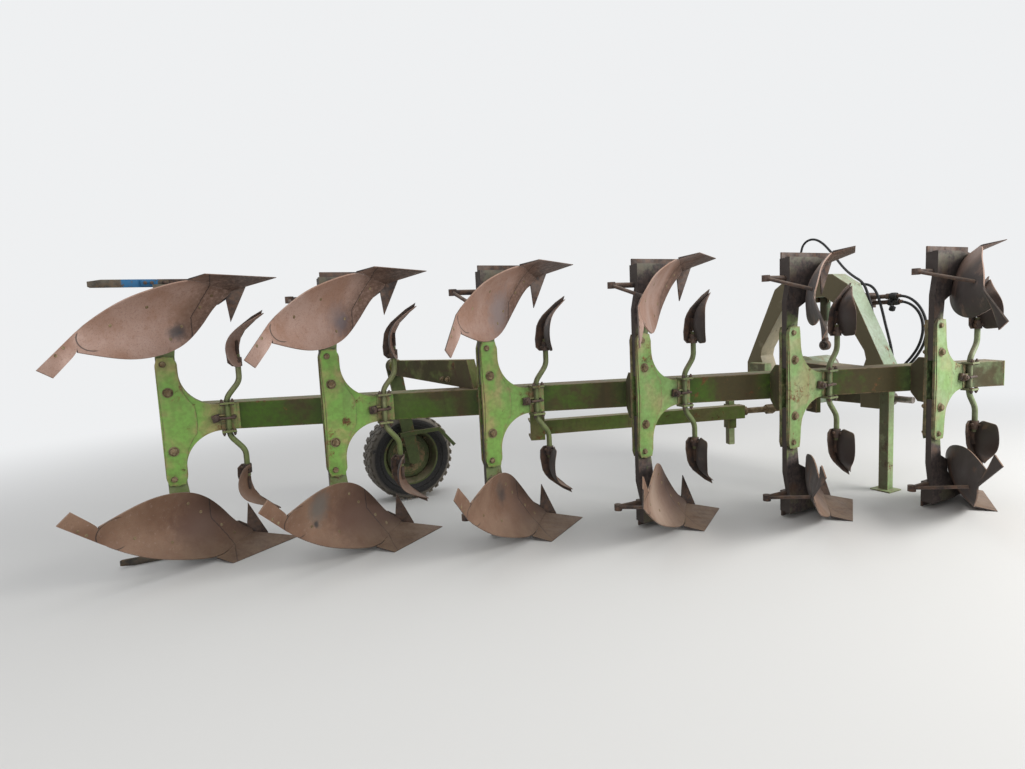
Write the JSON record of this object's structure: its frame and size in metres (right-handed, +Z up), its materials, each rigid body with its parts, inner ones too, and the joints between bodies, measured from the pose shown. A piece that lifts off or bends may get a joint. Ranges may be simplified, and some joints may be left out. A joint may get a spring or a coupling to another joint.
{
  "type": "mounted reversible plough",
  "caption": "Mounted reversible plough: mirrored mouldboard bodies and skimmers on K-shaped legs along a box beam, with turnover headstock, depth wheel and parking stands.",
  "frame": {"origin": "middle of the floor rectangle under the parked plough", "axes": "+X is the travel direction towards the tractor, +Y is the left-hand side, +Z is up"},
  "size_m": [5.7396, 3.2768, 2.026],
  "materials": {
    "dark_green_paint": "weathered gloss paint",
    "light_green_paint": "faded and dirty paint",
    "faded_green_paint": "sun-bleached paint",
    "worn_board_steel": "light surface rust",
    "dark_rusty_iron": "dark rust and dried soil",
    "rusty_bolt_steel": "rusted",
    "bare_steel": "dull bare steel",
    "ram_paint": "dirty paint",
    "tyre_rubber": "dusty rubber",
    "hose_rubber": "matte"
  },
  "bodies": {
    "headstock": {"arch": "faded_green_paint", "cross_member": "dark_green_paint", "link_pins": "bare_steel", "top_link_plates": "dark_green_paint", "top_link_pin": "bare_steel", "housing": "faded_green_paint", "ram_barrel": "ram_paint", "ram_rod": "bare_steel", "stand_socket": "dark_green_paint", "stop_block": "light_green_paint", "hose_rack": "rusty_bolt_steel", "hoses": "hose_rubber"},
    "frame": {"main_beam": "dark_green_paint", "beam_caps": "dark_green_paint", "cheek_plates": "light_green_paint", "gussets": "dark_green_paint", "pivot_bolts": "rusty_bolt_steel", "shear_bolts": "rusty_bolt_steel", "frogs": "dark_rusty_iron", "mouldboards": "worn_board_steel", "shares": "worn_board_steel", "tail_pieces": "worn_board_steel", "landsides": "dark_rusty_iron", "knives": "dark_rusty_iron", "board_stays": "dark_rusty_iron", "stalks": "light_green_paint", "stalk_clamps": "light_green_paint", "clamp_bolts": "rusty_bolt_steel", "skimmer_brackets": "dark_rusty_iron", "skimmer_boards": "dark_rusty_iron", "head_arm": "dark_green_paint", "spindle": "bare_steel", "stay_beam": "dark_green_paint", "stay_bracket": "dark_green_paint", "stay_screw": "rusty_bolt_steel", "cross_arm": "light_green_paint"},
    "wheel_leg": {"strut": "light_green_paint", "scraper": "faded_green_paint"},
    "wheel": {"rim": "light_green_paint", "tyre": "tyre_rubber"},
    "front_stand": {"stand_leg": "light_green_paint"},
    "parking_stand": {"parking_leg": "light_green_paint"}
  },
  "joints": [
    {"name": "turnover", "type": "hinge", "parent": "headstock", "child": "frame", "pos_m": [2.49982, 0.09689, 0.885], "axis": [-1, 0, 0], "range_deg": [0, 180]},
    {"name": "wheel_swing", "type": "hinge", "parent": "frame", "child": "wheel_leg", "pos_m": [-0.82018, 1.36189, 1.105], "axis": [0, -1, 0], "range_deg": [0, 105.3]},
    {"name": "wheel_spin", "type": "hinge", "parent": "wheel_leg", "child": "wheel", "pos_m": [-0.70018, 1.51689, 0.35], "axis": [0, 1, 0], "continuous": true},
    {"name": "front_stand_slide", "type": "slide", "parent": "headstock", "child": "front_stand", "axis": [0, 0, 1], "range_m": [0, 0.42]},
    {"name": "parking_stand_slide", "type": "slide", "parent": "frame", "child": "parking_stand", "axis": [0, 0, -1], "range_m": [0, 0.37]}
  ]
}
